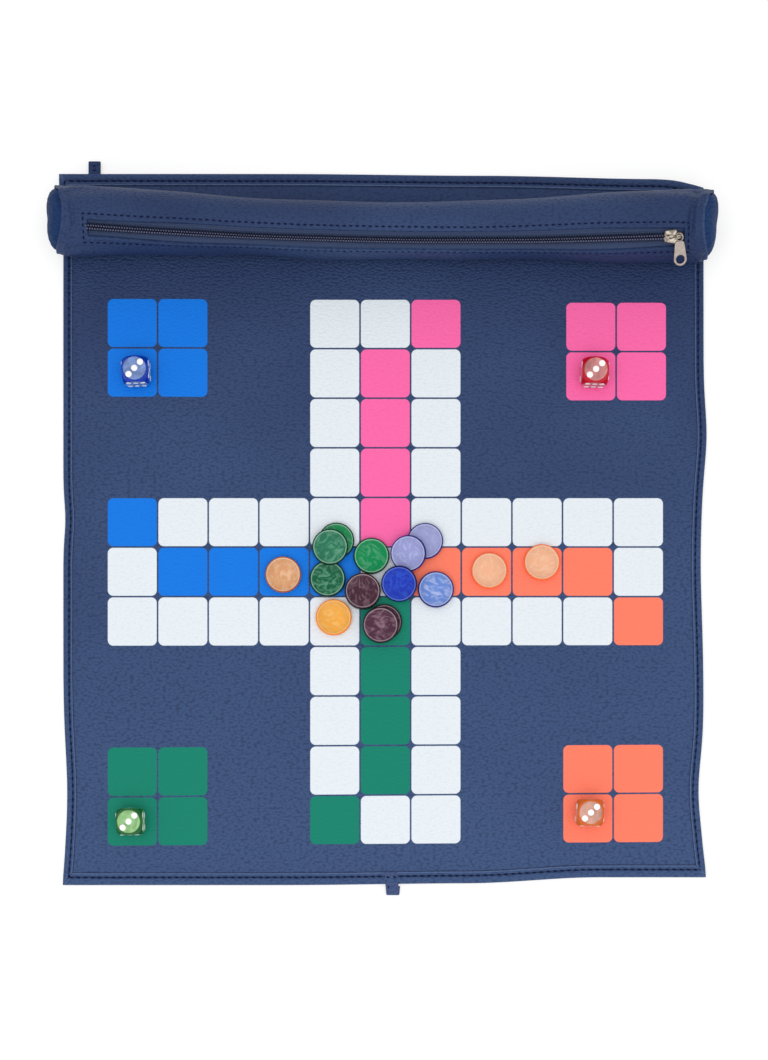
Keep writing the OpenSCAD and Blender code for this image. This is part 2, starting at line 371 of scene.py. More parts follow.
def print_stretch(x, y):
    """The hide stretched a little after printing: how far a place moved along Y."""
    side = np.minimum(x - left_edge(y), right_edge(y) - x)
    inside = ease(np.minimum(side, np.minimum(top_edge(x) - y, y - bottom_edge(x))), 7, 16)
    lower = 0.95 * x / 140 * ease(-y, 40, 170)
    upper = 0.5 * ease(y, 20, 90) * ease(-x, 50, 140) * (1 - ease(y, 137, 150))
    return (lower + upper) * inside


navy = grained_leather("navy_grain_leather", tone(41, 58, 98), tone(53, 74, 115), printed=True)
flesh_side = grained_leather("leather_flesh_side", tone(34, 50, 86), tone(48, 66, 104))
cut_edge = grained_leather("leather_cut_edge", tone(22, 36, 70), tone(30, 48, 84))
dark_thread = sewing_thread("dark_navy_thread", tone(9, 18, 52))


def hem_stitches():
    """Middle and direction of every stitch of the mat's hem. Each stitch lies a little slanted."""
    inset, step, slant = hem_in * side_hem, 4.2, 0.3
    places = []
    for y in spread(-209.5, 207.0, step):
        for x in (left_edge(y) + inset, right_edge(y) - inset):
            if bottom_edge(x) + hem_in < y < top_edge(x) - hem_in:
                places.append((x, y, (slant, 1, 0)))
    for x in spread(-187.0, 187.0, step):
        for y in (top_edge(x) - hem_in, bottom_edge(x) + hem_in):
            if left_edge(y) + inset + 1 < x < right_edge(y) - inset - 1:
                places.append((x, y, (1, -slant, 0)))
    return places


stitch_places = hem_stitches()


def row_places(rows):
    """X and Y of the points of a strip on the flat hide, row after row. A row is its own nominal
    distance along Y, with a rule that gives its true place at each x."""
    grid = []
    for nominal, place in rows:
        ys = place(across_mat(nominal))
        xs = across_row(place(across_row(ys)))
        grid.append((xs, place(xs)))
    return np.array(grid).transpose(1, 0, 2)


def print_squares(mesh, flat, quads):
    """Gives the corners of the first faces of the mesh their paint and how far they lie from the
    middle of their square. Faces off the squares have no paint."""
    unprinted = 500.0
    offsets = np.full((len(mesh.loops), 2), unprinted, np.float32)
    colours = np.zeros((len(mesh.loops), 4), np.float32)
    for face, quad in enumerate(quads):
        x, y = flat[list(quad)].mean(0)
        column, row = int((x - board_left) // pitch_x), int((board_top - y) // pitch_y)
        paint = square_paint(column, row)
        if paint is not None:
            centre = [board_left + (column + 0.5) * pitch_x, board_top - (row + 0.5) * pitch_y]
            corners = slice(4 * face, 4 * face + 4)
            offsets[corners] = flat[list(quad)] - centre
            colours[corners] = paint
    mesh.uv_layers.new(name="square").data.foreach_set("uv", offsets.ravel())
    layer = mesh.color_attributes.new(name="paint", type="FLOAT_COLOR", domain="CORNER")
    layer.data.foreach_set("color", colours.ravel())


def mat_piece(name, rows, lowest, highest):
    """One strip of the mat: rows of the grid from low to high, closed all round, with its stitches."""
    xs, ys = row_places(rows)
    upper, under = mat_heights(xs, ys)
    home, home_shift = pink_home(xs) * ease(ys, 66, 78), 1.8
    shift_y = -home_shift * home * np.cos(np.pi * (ys - board_top) / pitch_y) ** 2 * (ys < 145)
    printed_x, printed_y = xs + home_shift * home, ys + shift_y + print_stretch(xs, ys)
    top = np.stack([printed_x, printed_y, upper], -1).reshape(-1, 3)
    low = np.stack([printed_x, printed_y, under], -1).reshape(-1, 3)
    flat = np.stack([xs, ys], -1).reshape(-1, 2)
    n_rows, n_cols = xs.shape
    count = n_rows * n_cols
    points = list(np.concatenate([top, low]))
    upper_faces = grid_faces(n_rows, n_cols, closed=False, flip=True)
    under_faces = [tuple(count + v for v in quad) for quad in grid_faces(n_rows, n_cols, closed=False)]
    rim = ([j for j in range(n_cols)]
           + [i * n_cols + n_cols - 1 for i in range(1, n_rows)]
           + [(n_rows - 1) * n_cols + j for j in range(n_cols - 2, -1, -1)]
           + [i * n_cols for i in range(n_rows - 2, 0, -1)])
    rim_faces = [(b, a, count + a, count + b) for a, b in zip(rim, rim[1:] + rim[:1])]
    faces = upper_faces + under_faces + rim_faces
    picks = [0] * len(upper_faces) + [1] * len(under_faces) + [2] * len(rim_faces)
    stands_up, on_grain = 0.25, np.array([0, 0, 1.0])
    for x, y, along in stitch_places:
        if lowest <= y < highest:
            z = mat_heights(np.array(x), np.array(y))[0] + stands_up
            along = np.array(along) / np.linalg.norm(along)
            add_part(points, faces, stitch(np.array([x, y, z]), along, on_grain, 3.0, 1.2))
    picks += [3] * (len(faces) - len(picks))
    piece = new_piece(name, points, faces, [navy, flesh_side, cut_edge, dark_thread], picks, 35)
    under_spots = flat + [0, 500]
    thread_spots = np.array(points)[2 * count:, :2]
    lay_hide(piece, np.concatenate([flat, under_spots, thread_spots]))
    print_squares(piece.data, flat, upper_faces)
    side, end = from_edges(xs, ys)
    far = 50.0
    mitre = np.abs(side - end) + far * (np.maximum(side, end) > hem_cut)
    measures = np.full((len(points), 2), far)
    measures[:count] = np.stack([np.minimum(side, end), mitre], -1).reshape(-1, 2)
    lay_map(piece, "hem", measures)
    return piece


def straight_rows(y0, y1, step):
    """Rows straight across from y0 to y1, with one on every line between two squares."""
    lines = [board_top - k * pitch_y for k in range(squares_a_side + 1)]
    stops = [y0] + sorted(y for y in lines if y0 + 0.4 < y < y1 - 0.4) + [y1]
    values = joined(*[spread(a, b, step) for a, b in zip(stops, stops[1:])])
    return [(y, lambda xs, y=y: np.full(len(xs), float(y))) for y in values]


def edge_rows(cut, edge, sign):
    """Rows from a straight cut to a hemmed edge, which they follow more and more closely."""
    inner, step = hem_lines[-1], 1.9
    rows = []
    for s in np.linspace(0, 1, max(3, int(abs(edge(0) - cut) / step)))[:-1]:
        rows.append((cut + s * (edge(0.0) - sign * inner - cut),
                     lambda xs, s=s: cut + s * (edge(xs) - sign * inner - cut)))
    for d in hem_lines[::-1]:
        rows.append((edge(0.0) - sign * d, lambda xs, d=d: edge(xs) - sign * d))
    return rows


def cuts_between(bends, first, last):
    """Where one strip ends and the next begins: half way between two bends."""
    middles = [(a + b) / 2 for a, b in zip(bends, bends[1:])]
    return [first] + middles + [last]


def add_mat_piece(name, rows, lowest, highest, nodes, bodies):
    """Makes a strip of the mat and fits it to its body; a strip between two bodies is left fixed where
    it lies.
    """
    piece = mat_piece(name, rows, lowest, highest)
    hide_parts(*nodes)
    if len(bodies) == 1:
        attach(piece, bodies[0])
    else:
        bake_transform(piece)


mat_width, row_step = 386.5, 1.9
top_cuts = cuts_between(top_bends, top_bends[0] - half_row / 2, 156.4)
bottom_cuts = cuts_between(bottom_bends, bottom_bends[0] + half_row / 2, -208.4)

add_mat_piece("mat_middle", straight_rows(bottom_cuts[0], top_cuts[0], 5.0), bottom_cuts[0],
              top_cuts[0], ["mat_centre"], ["board"])
pouch_bend = len(top_bends) - 1
for i in range(len(top_bends)):
    low, high = top_cuts[i], top_cuts[i + 1]
    bodies = ["board" if i == 0 else f"mat_top_{i}", "pouch" if i == pouch_bend else f"mat_top_{i + 1}"]
    add_mat_piece(f"mat_upper_strip_{i + 1}", straight_rows(low, high, row_step), low, high,
                  ["mat_under_pouch" if i == pouch_bend else f"mat_top_{i + 1}"], bodies)
add_mat_piece("mat_top_flap", edge_rows(top_cuts[-1], top_edge, 1), top_cuts[-1], 230.0,
              ["mat_top_edge"], ["pouch", "mat_top_edge"])
for i in range(len(bottom_bends) - 1):
    high, low = bottom_cuts[i], bottom_cuts[i + 1]
    bodies = ["board" if i == 0 else f"mat_bottom_{i}", f"mat_bottom_{i + 1}"]
    add_mat_piece(f"mat_lower_strip_{i + 1}", straight_rows(low, high, row_step), low, high,
                  [f"mat_bottom_{i + 1}"], bodies)
high, low = bottom_cuts[-2:]
add_mat_piece("mat_lower_strip_8", edge_rows(high, bottom_edge, -1)[::-1], -230.0, high,
              ["mat_bottom_8"], ["mat_bottom_7", "mat_bottom_8"])

# A folded leather tab stands out from under the top hem, and a short leather loop is sewn over
# the bottom hem. Both are strips of the same hide with skived edges, held by a few stitches.
def strap(name, path, x0, x1, thick, leather, lean=0.0):
    """A strip of leather that follows a path of (y, z) points, with its long edges rounded over.
    Lean is how far it moves to the right for each millimetre of its length."""
    path = np.array(path, float)
    run = np.gradient(path, axis=0)
    run /= np.linalg.norm(run, axis=1)[:, None]
    out = np.stack([-run[:, 1], run[:, 0]], 1)
    along = np.concatenate([[0], np.cumsum(np.linalg.norm(np.diff(path, axis=0), axis=1))])
    middle, half = (x0 + x1) / 2, (x1 - x0) / 2
    section = [(-1, 0, 0), (-0.97, 0.36, 0), (-0.88, 0.5, 0), (-0.45, 0.5, 0), (0, 0.5, 0),
               (0.45, 0.5, 0), (0.88, 0.5, 0), (0.97, 0.36, 0), (1, 0, 0), (0.97, -0.36, 1),
               (0.88, -0.5, 1), (0, -0.5, 1), (-0.88, -0.5, 1), (-0.97, -0.36, 1)]
    points, spots = [], []
    for i, (y, z) in enumerate(path):
        for u, v, under in section:
            x = middle + u * half + lean * along[i]
            points.append((x, y + out[i, 0] * v * thick, z + out[i, 1] * v * thick))
            spots.append((x + 30 * under, along[i] + 300))
    piece = new_piece(name, points, rod_faces(len(path), len(section)), [leather], crease=60)
    lay_hide(piece, spots)
    return piece


def sewn_thread(name, places, length=2.5, width=0.75):
    """A run of stitches, each given as its middle, its direction and the way out of the leather."""
    points, faces = [], []
    for place in places:
        add_part(points, faces, stitch(*np.array(place, float), length, width))
    return new_piece(name, points, faces, [dark_thread])


def sew_down(piece, places):
    """Joins a few stitches, given as middle and direction, to a strap."""
    thread = sewn_thread(piece.name + "_stitches", [(*place, (0, 0, 1)) for place in places])
    thread.parent = piece


def turn(centre_y, centre_z, radius, start, end, steps=8):
    """Points on an arc in the YZ plane, with angles in degrees from +Y."""
    return [(centre_y + radius * math.cos(a), centre_z + radius * math.sin(a))
            for a in np.radians(np.linspace(start, end, steps))]


trim_leather = grained_leather("trim_leather", tone(30, 46, 84), tone(44, 64, 106))
loop_leather = grained_leather("loop_leather", tone(58, 74, 116), tone(74, 92, 136))
tab_path = ([(208.6, 0.65), (211.4, 0.62), (215, 0.62)] + turn(218.9, 1.25, 0.62, -90, 90)
            + [(216.6, 1.9), (213, 2.0), (209.9, 2.0)])
tab = strap("hanging_tab_folded", tab_path, -177.0, -169.8, 0.75, trim_leather)
sew_down(tab, [((-173.4, 214.2, 2.42), (1, 0, 0)), ((-173.4, 217.0, 2.36), (1, 0, 0))])
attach(tab, "mat_top_edge")
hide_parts("hanging_tab")

loop_path = ([(-206.9, 2.95), (-210.0, 2.98), (-213.2, 2.95), (-216.6, 2.6)]
             + turn(-219.2, 1.55, 0.95, 90, 270, 9) + [(-217.2, 0.55), (-215.3, 0.55)])
loop = strap("closing_loop_folded", loop_path, 0.5, 8.3, 0.95, loop_leather, lean=0.09)
sew_down(loop, [((2.9, -209.9, 3.5), (1, 0.15, 0)), ((6.9, -209.7, 3.5), (1, 0.15, 0)),
                ((2.9, -215.4, 3.2), (0.1, -1, 0))])
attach(loop, "mat_bottom_8")
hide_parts("closing_loop")

# The pouch is one piece of the hide rolled into a tube and sewn flat onto the mat. It is slack
# in the middle and full at its ends, puckers where the end discs are sewn in, and has a long
# window for the zip with its edges turned in and a stitched frame round it.
tube_y, tube_z, tube_r = 173.0, 19.9, 19.0
tube_turn = 2 * math.pi * tube_r
zip_turn, zip_skew = math.radians(22), math.radians(0.9)
cuff_x, sewn_z = 188.0, sheet_t + 0.02
window_left, window_right = -171.4, 174.8


def zip_point(x, w, h):
    """A place in the zip's own frame: x along it, w up round the tube, h out of the tube."""
    across = w * math.cos(zip_skew) - x * math.sin(zip_skew)
    out = tube_r + h
    return np.array([x * math.cos(zip_skew) + w * math.sin(zip_skew),
                     tube_y + across * math.cos(zip_turn) - out * math.sin(zip_turn),
                     tube_z + across * math.sin(zip_turn) + out * math.cos(zip_turn)])


def soft(t, start, end):
    """The same as ease, for one value."""
    return float(ease(t, start, end))


def tube_frame(x):
    """Middle, radius and zip angle of the tube at x. The zip hangs towards the board half way."""
    sag = -4.7 * max(0.0, 1 - (x / 170) ** 2)
    _, zip_y, zip_z = zip_point(x, sag, 0)
    slack_size = 15.9
    size = (slack_size + 4.2 * soft(-x, 70, 195) + 4.6 * soft(x, 40, 175)
            - 1.3 * soft(abs(x), 183.5, 189))
    middle_y = 171.3 + 6.6 * soft(-x, 0, 200) + 3.8 * soft(x, 20, 200)
    rise = math.sqrt(size ** 2 - (middle_y - zip_y) ** 2)
    return middle_y, zip_z - rise, size, math.asin((middle_y - zip_y) / size)


def creases(x, around):
    """Folds in the slack leather, in millimetres out of the tube."""
    around = (around + tube_turn / 2) % tube_turn - tube_turn / 2
    near_end = soft(abs(x), 150, 186)
    long_waves = 0.45 * math.sin(x * 0.075 + 0.9) * math.sin(around * 0.09 + 0.4) * (1 - near_end)
    puckers = 0.45 * math.sin(around * 0.55 + 1.5 * math.sin(x * 0.12))
    puckers *= near_end * soft(abs(around), 8, 14)
    valley = -2.3 * float(bump(x, 178.6 + 0.09 * around, 2.5))
    valley *= soft(around, -9, 6) * (1 - soft(around, 27, 40))
    left_valley = -0.9 * float(bump(x, -181.5 - 0.05 * around, 2.2))
    left_valley *= soft(around, -20, 4) * (1 - soft(around, 30, 44))
    pinches = 0.4 * math.sin(x * 0.95 + around * 0.16) * float(bump(x, -180, 5))
    pinches *= soft(around, -14, 2) * (1 - soft(around, 20, 40))
    return long_waves + puckers + valley + left_valley + pinches


def pouch_point(x, around, out=0.0):
    """A place on the pouch. Around is the way round the tube in millimetres, up from the zip. The
    underside is pressed flat onto the mat."""
    middle_y, middle_z, size, zip_at = tube_frame(x)
    angle = zip_at - around / tube_r
    y, z = -math.sin(angle), math.cos(angle)
    pressed = 0.7
    down = middle_z - sheet_t + pressed if z < 0 else size
    r = out + creases(x, around)
    height = max(middle_z + (down + r) * z, sewn_z)
    over_middle = height - 20
    lean = 4.0 - 0.1 * over_middle - 0.012 * max(0, over_middle) ** 2
    lean += 0.2 + 1.9 * y if x > 0 else 0.6 + 0.6 * y
    lean *= soft(abs(x), 171, cuff_x) * (1 if x > 0 else -1)
    return np.array([x + lean, middle_y + (size + r) * y, height])


def lips(x):
    """How far the two edges of the window stand from the middle of the coil, above and below."""
    reach = soft(x - window_left, 0, 70) * soft(window_right - x, -15, 60)
    return 3.9 + 2.1 * reach, 5.2 + 2.6 * reach


def window_depth(x, around):
    """How far the leather is turned in round the zip: nothing outside the window, full depth in it."""
    upper, lower = lips(x)
    edge = min(upper - around if around > 0 else lower + around, x - window_left, window_right - x)
    return -2.3 * soft(edge, -0.5, 0.6) + 0.3 * float(bump(edge, -1.5, 1.0))


def outward_of(x, around):
    """The direction straight out of the leather at a place on the pouch."""
    run = pouch_point(x, around + 0.5) - pouch_point(x, around - 0.5)
    out = np.cross(np.array([1.0, 0, 0]), run)
    return out / np.linalg.norm(out)


round_tube = joined(spread(-tube_turn / 2, -12, 1.6), spread(-12, -9.2, 0.7),
                    spread(-9.2, -3.4, 0.3), spread(-3.4, 2.4, 1.0), spread(2.4, 7.6, 0.3),
                    spread(7.6, 11, 0.8), spread(11, tube_turn / 2, 1.6))[:-1]
along_tube = joined(spread(-188, -175, 0.9), spread(-175, -169, 0.3), spread(-169, -150, 1.6),
                    spread(-150, 150, 2.5), spread(150, 173, 1.6), spread(173, 176.5, 0.3),
                    spread(176.5, 188, 0.8))
points = [pouch_point(x, w, window_depth(x, w)) for x in along_tube for w in round_tube]
pouch_leather = grained_leather("pouch_grain_leather", tone(38, 55, 94), tone(52, 72, 112))
pouch = new_piece("pouch_tube", points, grid_faces(len(along_tube), len(round_tube)), [pouch_leather],
                  crease=75)
lay_hide(pouch, [(x + 40, w + 700) for x in along_tube for w in round_tube])
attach(pouch, "pouch")
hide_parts("pouch_shell")

frame_run = []
for x in spread(window_left - 2.6, window_right + 2.8, 3.8):
    upper, lower = lips(x)
    frame_run += [(x, upper + 3.2, (1, 0)), (x, -9.2, (1, 0))]
for x in (window_left - 2.9, window_right + 3.1):
    frame_run += [(x, w, (0, 1)) for w in spread(-6.2, 4.4, 3.5)]
frame_places = []
for x, w, (by_x, by_w) in frame_run:
    along = pouch_point(x + by_x / 2, w + by_w / 2) - pouch_point(x - by_x / 2, w - by_w / 2)
    frame_places.append((pouch_point(x, w, 0.1), along / np.linalg.norm(along), outward_of(x, w)))
frame_stitches = sewn_thread("zip_frame_stitches", frame_places, 2.8, 0.95)
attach(frame_stitches, "pouch")

# A stiff disc covered in the same leather closes each end of the tube. It leans in at the top.
# The tube's leather is turned over its rim and sewn, which leaves a thin raised edge.
end_ring = list(np.linspace(0, tube_turn, 97))[:-1]
# The rim's leather, the seam inside it, and the disc, as shares of the rim's size and rises off it
rim_rings = [(0.985, -1.6), (1.003, -0.7), (1.01, 0.0), (1.002, 0.6), (0.984, 0.9)]
seam_rings = [(0.966, 0.7), (0.955, 0.1), (0.948, -0.5), (0.938, -0.5)]
disc_rings = [(0.926, 0.2), (0.905, 1.0), (0.86, 2.1), (0.77, 3.5), (0.6, 4.9), (0.4, 5.8), (0.2, 6.2),
              (0.02, 6.3)]
disc_line = rim_rings + seam_rings + disc_rings
disc_finish = [1] * len(rim_rings) + [2] * len(seam_rings) + [0] * len(disc_rings)
# Painted shade: the discs are coloured darker than the tube. Painted highlight: the raised edge is a
# little lighter. Painted shadow: the seam inside it.
shaded_disc_leather = grained_leather("shaded_disc_leather", tone(28, 50, 90), tone(38, 64, 108), shine=0.03)
highlit_bead_leather = grained_leather("turned_rim_highlight_leather", tone(40, 58, 98), tone(54, 75, 116))
seam_shadow = grained_leather("seam_shadow_leather", tone(12, 20, 46), tone(18, 28, 58))
for side, name in ((-1, "left"), (1, "right")):
    rim = np.array([pouch_point(side * cuff_x, w) for w in end_ring])
    heart = (rim.max(0) + rim.min(0)) / 2
    facing = np.array([side * 0.958, 0, 0.287])
    fullness = 1.25 if side < 0 else 1.0
    points, spots = [], []
    for share, rise in disc_line:
        out = rise * (fullness if rise > 1 else 1.0)
        for x, y, z in heart + (rim - heart) * share + facing * out:
            points.append((x, y, max(z, sewn_z)))
            spots.append((y, z * 1.04 + 900 + 100 * side))
    faces = grid_faces(len(disc_line), len(end_ring), flip=side < 0)
    last = (len(disc_line) - 1) * len(end_ring)
    faces.append(tuple(range(last, last + len(end_ring)))[::-side])
    picks = [disc_finish[f // len(end_ring)] for f in range(len(faces))]
    cap = new_piece(f"pouch_end_disc_{name}", points, faces,
                    [shaded_disc_leather, highlit_bead_leather, seam_shadow], picks, 80)
    lay_hide(cap, spots)
    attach(cap, "pouch")
    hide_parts(f"pouch_cap_{name}")


# The zip is a nylon coil on woven tapes, sewn in behind the window. Each tape carries one
# coil, and the turns of the two coils lock into each other. Metal stops end it.
def woven_tape(name):
    """Polyester tape, ribbed along its length and woven across."""
    material, tree, skin = finish_nodes(name)
    place = put(tree, "UVMap", uv_map="hide")[0]
    rib = put(tree, "TexWave", {"Vector": place, "Scale": 420.0, "Distortion": 0.6},
              bands_direction="X")[0]
    weft = put(tree, "TexWave", {"Vector": place, "Scale": 330.0, "Distortion": 0.8},
               bands_direction="Y")[0]
    cloth = math_node(tree, "MULTIPLY", rib, weft)
    raised = put(tree, "Bump", {"Height": cloth, "Strength": 0.8, "Distance": 0.0002})
    tree.links.new(raised[0], skin.inputs["Normal"])
    tree.links.new(mixed(tree, cloth, tone(40, 56, 90), tone(72, 92, 130)), skin.inputs["Base Color"])
    skin.inputs["Roughness"].default_value = 0.85
    return material


def coil_nylon(name, dark, light):
    """Moulded nylon, nearly black, with a soft gloss."""
    material, tree, skin = finish_nodes(name)
    place = put(tree, "TexCoord")["Object"]
    fleck = put(tree, "TexNoise", {"Vector": place, "Scale": 900.0})[0]
    tree.links.new(mixed(tree, fleck, dark, light), skin.inputs["Base Color"])
    skin.inputs["Roughness"].default_value = 0.3
    skin.inputs["Specular IOR Level"].default_value = 0.12
    return material


tape_cloth = woven_tape("zip_tape_weave")
nylon = coil_nylon("zip_coil_nylon", tone(8, 9, 26), tone(22, 24, 48))
coil_start, coil_end, tooth_pitch, coil_sides, crest_at = -172.4, 173.4, 1.5, 6, 3
# Painted highlight: the crest of each turn is coloured lighter, where the nylon catches the light.
tooth_shine = coil_nylon("zip_coil_crest_highlight", tone(76, 80, 108), tone(112, 116, 142))
tooth_line = [(0.12, 1.85, -1.5), (0.05, 1.9, -0.5), (0.0, 1.72, 0.1), (-0.05, 1.2, 0.22),
              (-0.08, 0.55, 0.02), (-0.1, -0.1, -0.3), (-0.05, -0.4, -0.8)]


def rod(path, radius, sides=coil_sides, squash=1.0):
    """Points and faces of a rod that follows a path of (x, w, h) places."""
    path = np.array(path, float)
    run = np.gradient(path, axis=0)
    points = []
    for p, d in zip(path, run / np.linalg.norm(run, axis=1)[:, None]):
        side = np.array([1.0, 0, 0]) if abs(d[0]) < 0.9 else np.array([0, 1.0, 0])
        b = np.cross(d, side)
        b /= np.linalg.norm(b)
        a = np.cross(b, d)
        for t in np.arange(sides) * 2 * math.pi / sides:
            points.append(p + a * radius * math.cos(t) + b * radius * squash * math.sin(t))
    return points, rod_faces(len(path), sides)


def gathered(name, parts, place, finish, crease=40):
    """One piece from several parts, each given in a frame that place turns into real places."""
    points, faces = [], []
    for part in parts:
        add_part(points, faces, part)
    return new_piece(name, [place(*p) for p in points], faces, [finish], crease=crease)


for half, sign in (("upper", 1), ("lower", -1)):
    widths = [0.3, 1.2, 2.4, 3.0, 3.3, 3.6, 5.0, 6.5, 8.0, 9.2]
    ridge = [0, 0, 0, 0.1, 0.3, 0.1, 0, 0, 0, 0]
    section = [(w, -1.45 + up) for w, up in zip(widths, ridge)] + [(w, -2.0) for w in widths[::-1]]
    stations = spread(-176, 176, 3.0)
    points = [pouch_point(x, sign * w, h) for x in stations for w, h in section]
    faces = grid_faces(len(stations), len(section), flip=sign < 0)
    ends = list(range(len(section))), list(range(len(points) - len(section), len(points)))
    faces += [tuple(ends[0]), tuple(ends[1][::-1])]
    tape = new_piece(f"zip_tape_{half}_woven", points, faces, [tape_cloth], crease=40)
    lay_hide(tape, [(x, sign * w + 20 * h) for x in stations for w, h in section])
    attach(tape, "pouch")
    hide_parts(f"zip_tape_{half}")

    turns = []
    for x in np.arange(coil_start + (tooth_pitch / 2 if sign < 0 else 0.0), coil_end, tooth_pitch):
        turns.append(rod([(x + dx, sign * w, h) for dx, w, h in tooth_line], 0.44))
    coil = gathered(f"zip_coil_{half}_turns", turns, pouch_point, nylon, 60)
    # The crest faces take the painted highlight colour.
    coil.data.materials.append(tooth_shine)
    turn_faces = coil_sides * (len(tooth_line) - 1) + 2
    crest = [int(f % turn_faces // coil_sides == crest_at) for f in range(len(coil.data.polygons))]
    coil.data.polygons.foreach_set("material_index", crest)
    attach(coil, "pouch")
    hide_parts(f"zip_coil_{half}")


# The slider is cast and nickel plated: a plate with turned-down sides over the coil, a bridge
# on it that holds the pull, a web through the slit and a plate under the tapes. The pull is a
# stamped tongue with a round hole, and its ring goes round the slider's bridge.
def nickel(name, colour, rough, blotch=0.3):
    """Nickel plating with darker blotches, down to a share of its colour, which are painted dark
    reflections.
    """
    material, tree, skin = finish_nodes(name)
    place = put(tree, "TexCoord")["Object"]
    reflection_blotches = put(tree, "TexNoise", {"Vector": place, "Scale": 420.0, "Detail": 3.0})[0]
    reflection_blotches = put(tree, "MapRange", {"Value": reflection_blotches, "From Min": 0.4, "From Max": 0.62})[0]
    raised = put(tree, "Bump", {"Height": reflection_blotches, "Strength": 0.2, "Distance": 0.0003})
    tree.links.new(raised[0], skin.inputs["Normal"])
    # Painted reflection: the blotches darken the plating's colour.
    tree.links.new(mixed(tree, reflection_blotches, toned(colour, blotch), colour), skin.inputs["Base Color"])
    rough_map = put(tree, "MapRange", {"Value": reflection_blotches, "To Min": rough - 0.06, "To Max": rough + 0.1})[0]
    tree.links.new(rough_map, skin.inputs["Roughness"])
    skin.inputs["Metallic"].default_value = 1.0
    return material


slider_x, bar_h, pull_len, pull_drop = 168.5, 3.0, 16.5, math.radians(9)
ring_x, pull_skew, ring_tilt = 2.9, math.radians(8), math.radians(25)
plated = nickel("nickel_plate", tone(186, 176, 162), 0.22)
stamped = nickel("nickel_satin", tone(172, 160, 152), 0.36, 0.78)
blackened = nickel("nickel_blackened", tone(70, 70, 78), 0.5)


def slab(outline, low, high, edge=0.25):
    """Points and faces of a plate cut to an outline, with a small round on its edges."""
    outline = np.array(outline, float)
    inward = outline.mean(0) - outline
    inset = outline + inward / np.linalg.norm(inward, axis=1)[:, None] * edge
    rings = [(inset, low), (outline, low + edge), (outline, high - edge), (inset, high)]
    points = [(x, w, h) for ring, h in rings for x, w in ring]
    return points, rod_faces(len(rings), len(outline))


half_shield = [(5.3, 0), (4.9, 1.0), (2.1, 1.1), (1.9, 2.4), (1.3, 3.5), (0.2, 3.9), (-2.2, 3.6),
               (-4.6, 3.0), (-5.5, 2.2), (-5.7, 0.0)]
shield = [(x, -w) for x, w in half_shield] + half_shield[-2:0:-1]
under_plate = [(x, w * 0.7) for x, w in shield]
bridge = [(-4.7, 0, 1.2), (-4.6, 0, 2.1), (-4.1, 0, 2.7), (-3.2, 0, 3.0), (-1.5, 0, 3.05), (2.0, 0, 3.0),
          (3.6, 0, 2.95), (4.5, 0, 2.6), (4.9, 0, 1.9), (4.9, 0, 1.0)]
crown = [(-4.9, 0, 1.6), (-4.5, 0, 2.9), (-3.6, 0, 3.7), (-2.4, 0, 3.9), (-1.2, 0, 3.7), (-0.3, 0, 3.1)]
flange = [(-5.2, 2.5), (-2.4, 3.0), (0.2, 3.3), (1.4, 3.0), (1.4, 3.5), (0.2, 3.85), (-2.4, 3.5),
          (-5.2, 3.0)]
mirrored = [(x, -w) for x, w in flange[::-1]]
flanges = [slab(outline, -0.7, 1.3, 0.12) for outline in (flange, mirrored)]
web = [(-2.4, -0.33), (2.4, -0.33), (2.4, 0.33), (-2.4, 0.33)]
slider = gathered("zip_slider_cast", [slab(shield, 0.95, 1.7, 0.3), slab(under_plate, -4.3, -3.4, 0.2),
                                      slab(web, -3.6, 1.2, 0.1), rod(bridge, 0.5, 10),
                                      rod(crown, 1.25, 12, 0.5)] + flanges,
                  lambda x, w, h: zip_point(slider_x + x, w, h), plated)
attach(slider, "zip_slider")
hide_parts("zip_slider")


def on_pull(x, w, h):
    """The pull's own frame: w runs from the bridge away from the tip, and h out of the tube."""
    c, s = math.cos(pull_skew), math.sin(pull_skew)
    x, w = ring_x + (x - ring_x) * c - w * s, w * c + (x - ring_x) * s
    c, s = math.cos(pull_drop), math.sin(pull_drop)
    return zip_point(slider_x + x, w * c - h * s, bar_h + w * s + h * c)


tip_r, hole_r, ring_r = 3.75, 2.5, 2.15
hole_w = tip_r - pull_len
tip = [(ring_x + tip_r * math.cos(a), hole_w + tip_r * math.sin(a))
       for a in np.radians(np.linspace(8, -188, 25))]
shoulder = [(1.5, -2.25), (2.5, -2.9), (2.85, -4.2)]
outer = ([(ring_x + x, w) for x, w in shoulder] + tip + [(ring_x - x, w) for x, w in shoulder[::-1]])
hole = [(ring_x + hole_r * math.cos(a), hole_w + hole_r * math.sin(a))
        for a in np.arange(36) * math.pi / 18]
stamping = bpy.data.curves.new("pull_outline", "CURVE")
stamping.dimensions, stamping.fill_mode = "2D", "BOTH"
for line in (outer, hole):
    spline = stamping.splines.new("POLY")
    spline.points.add(len(line) - 1)
    for point, (x, w) in zip(spline.points, line):
        point.co = (x, w, 0, 1)
    spline.use_cyclic_u = True
stamping.extrude, stamping.bevel_depth, stamping.bevel_resolution, stamping.offset = 0.28, 0.2, 2, -0.2
shape = bpy.data.objects.new("pull_outline", stamping)
pressed = bpy.data.meshes.new_from_object(shape)
tongue = ([tuple(v.co) for v in pressed.vertices], [tuple(p.vertices) for p in pressed.polygons])
bpy.data.objects.remove(shape)
ring_line = [(ring_x + ring_r * math.cos(a) * math.cos(ring_tilt), ring_r * math.sin(a),
              ring_r * math.cos(a) * math.sin(ring_tilt)) for a in np.linspace(0, 2 * math.pi, 29)]
pull = gathered("zip_pull_tab", [tongue, rod(ring_line, 0.48, 10)], on_pull, stamped)
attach(pull, "pull_tab")
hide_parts("pull_tab")
clamp = [(-2.4, -1.9), (-2.3, -1.3), (-1.8, -0.9), (0, -0.8), (1.8, -0.9), (2.3, -1.3), (2.4, -1.9)]
